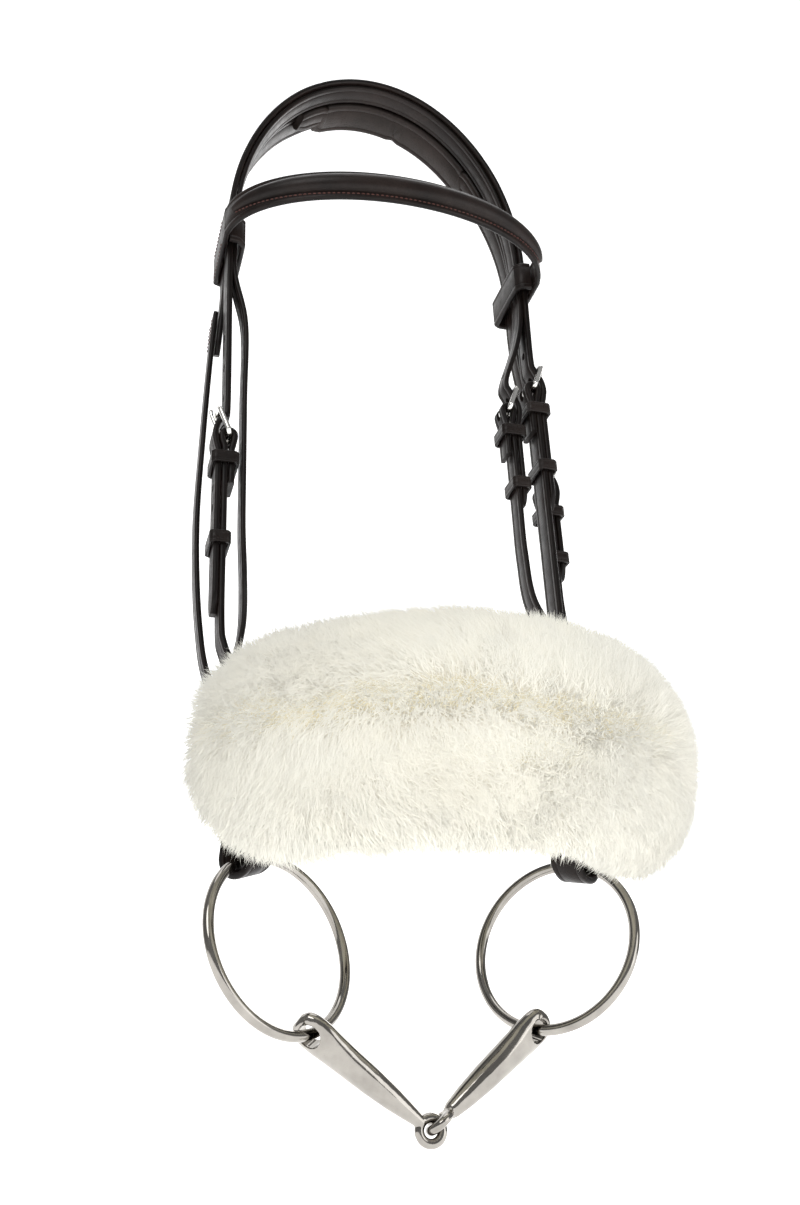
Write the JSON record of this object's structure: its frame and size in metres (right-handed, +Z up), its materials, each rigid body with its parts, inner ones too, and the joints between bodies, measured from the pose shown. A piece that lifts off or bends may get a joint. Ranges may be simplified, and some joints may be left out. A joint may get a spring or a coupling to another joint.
{
  "type": "snaffle bridle with sheepskin noseband",
  "caption": "Leather bridle with padded browband, sheepskin-covered noseband, throatlash and a single-jointed loose-ring snaffle bit, hanging from its headpiece.",
  "frame": {"origin": "middle of the poll pad's underside, where the bridle rests on the poll", "axes": "+Z up, -Y to the front (browband side), +X to the horse's left"},
  "size_m": [0.2341, 0.1904, 0.6379],
  "materials": {
    "leather": "dark brown bridle leather, waxed",
    "lining_leather": "soft dark lining leather",
    "stainless_steel": "polished stainless steel",
    "buckle_metal": "bright plated",
    "sheepskin": "ivory sheepskin with a deep pile"
  },
  "bodies": {
    "bridle": {"headpiece": "leather", "noseband_headstrap": "leather", "noseband_cheek_strap": "leather", "throatlash": "leather", "nosepiece": "leather", "chin_strap": "leather", "cheekpiece_left": "leather", "cheekpiece_right": "leather", "chin_keeper": "leather", "billet_keeper_left": "leather", "billet_keeper_right": "leather", "poll_pad": "lining_leather", "cheek_left_buckle": "buckle_metal", "cheek_left_keeper": "leather", "cheek_right_buckle": "buckle_metal", "cheek_right_keeper": "leather", "headstrap_buckle": "buckle_metal", "headstrap_keeper": "leather", "throatlash_buckle": "buckle_metal", "throatlash_keeper": "leather", "chin_buckle": "buckle_metal"},
    "browband_slider": {"browband": "leather", "browband_padding": "leather"},
    "cover": {"sheepskin_cover": "sheepskin", "closure_strip": "lining_leather"},
    "cheek_left_tongue": {"cheek_left_buckle_tongue": "buckle_metal"},
    "cheek_right_tongue": {"cheek_right_buckle_tongue": "buckle_metal"},
    "headstrap_tongue": {"headstrap_buckle_tongue": "buckle_metal"},
    "throatlash_tongue": {"throatlash_buckle_tongue": "buckle_metal"},
    "chin_tongue": {"chin_buckle_tongue": "buckle_metal"},
    "cheek_left_runner": {"cheek_left_runner": "leather"},
    "cheek_right_runner": {"cheek_right_runner": "leather"},
    "headstrap_runner": {"headstrap_runner": "leather"},
    "throatlash_runner": {"throatlash_runner": "leather"},
    "ring_left": {"bit_ring_left": "stainless_steel"},
    "ring_right": {"bit_ring_right": "stainless_steel"},
    "mouth_left": {"mouthpiece_left": "stainless_steel"},
    "mouth_right": {"mouthpiece_right": "stainless_steel"}
  },
  "joints": [
    {"name": "browband_slide", "type": "slide", "parent": "bridle", "child": "browband_slider", "axis": [0, 0, 1], "range_m": [-0.008, 0.008]},
    {"name": "cover_shift", "type": "hinge", "parent": "bridle", "child": "cover", "pos_m": [0, -0.047, -0.473], "axis": [0, 0, 1], "range_deg": [-7, 7]},
    {"name": "cheek_left_tongue_lift", "type": "hinge", "parent": "bridle", "child": "cheek_left_tongue", "pos_m": [-0.0905, -0.0095, -0.277], "axis": [0, -1, 0], "range_deg": [0, 10]},
    {"name": "cheek_right_tongue_lift", "type": "hinge", "parent": "bridle", "child": "cheek_right_tongue", "pos_m": [0.0905, -0.0095, -0.219], "axis": [0, 1, 0], "range_deg": [0, 10]},
    {"name": "headstrap_tongue_lift", "type": "hinge", "parent": "bridle", "child": "headstrap_tongue", "pos_m": [0.0738, -0.01, -0.236], "axis": [0, 1, 0], "range_deg": [0, 5]},
    {"name": "throatlash_tongue_lift", "type": "hinge", "parent": "bridle", "child": "throatlash_tongue", "pos_m": [0.104, 0.014, -0.273], "axis": [0, 1, 0], "range_deg": [0, 10]},
    {"name": "chin_tongue_lift", "type": "hinge", "parent": "bridle", "child": "chin_tongue", "pos_m": [0.03, 0.011, -0.453], "axis": [0, 0, -1], "range_deg": [0, 10]},
    {"name": "cheek_left_runner_slide", "type": "slide", "parent": "bridle", "child": "cheek_left_runner", "axis": [0, 0, 1], "range_m": [-0.014, 0.014]},
    {"name": "cheek_right_runner_slide", "type": "slide", "parent": "bridle", "child": "cheek_right_runner", "axis": [0, 0, 1], "range_m": [-0.012, 0.012]},
    {"name": "headstrap_runner_slide", "type": "slide", "parent": "bridle", "child": "headstrap_runner", "axis": [0, 0, 1], "range_m": [-0.006, 0.006]},
    {"name": "throatlash_runner_slide", "type": "slide", "parent": "bridle", "child": "throatlash_runner", "axis": [0, 0, 1], "range_m": [-0.006, 0.006]},
    {"name": "bit_fold", "type": "hinge", "parent": "bridle", "child": "ring_left", "pos_m": [-0.08, -0.028, -0.508], "axis": [0, -1, 0], "range_deg": [-4, 4]},
    {"name": "left_butt_turn", "type": "hinge", "parent": "ring_left", "child": "mouth_left", "pos_m": [-0.05068, -0.028, -0.58243], "axis": [0, -1, 0], "range_deg": [-11.59, 11.59]},
    {"name": "centre_link_turn", "type": "hinge", "parent": "mouth_left", "child": "mouth_right", "pos_m": [0, -0.028, -0.62275], "axis": [0, -1, 0], "range_deg": [-14.97, 14.97]},
    {"name": "right_ring_turn", "type": "hinge", "parent": "bridle", "child": "ring_right", "pos_m": [0.08, -0.028, -0.508], "axis": [0, -1, 0], "range_deg": [-4.2, 4.2]}
  ],
  "couplings": [
    {"joint": "left_butt_turn", "follows": "bit_fold", "ratio": -2.8464},
    {"joint": "centre_link_turn", "follows": "bit_fold", "ratio": 3.6928},
    {"joint": "right_ring_turn", "follows": "bit_fold", "ratio": -1}
  ]
}
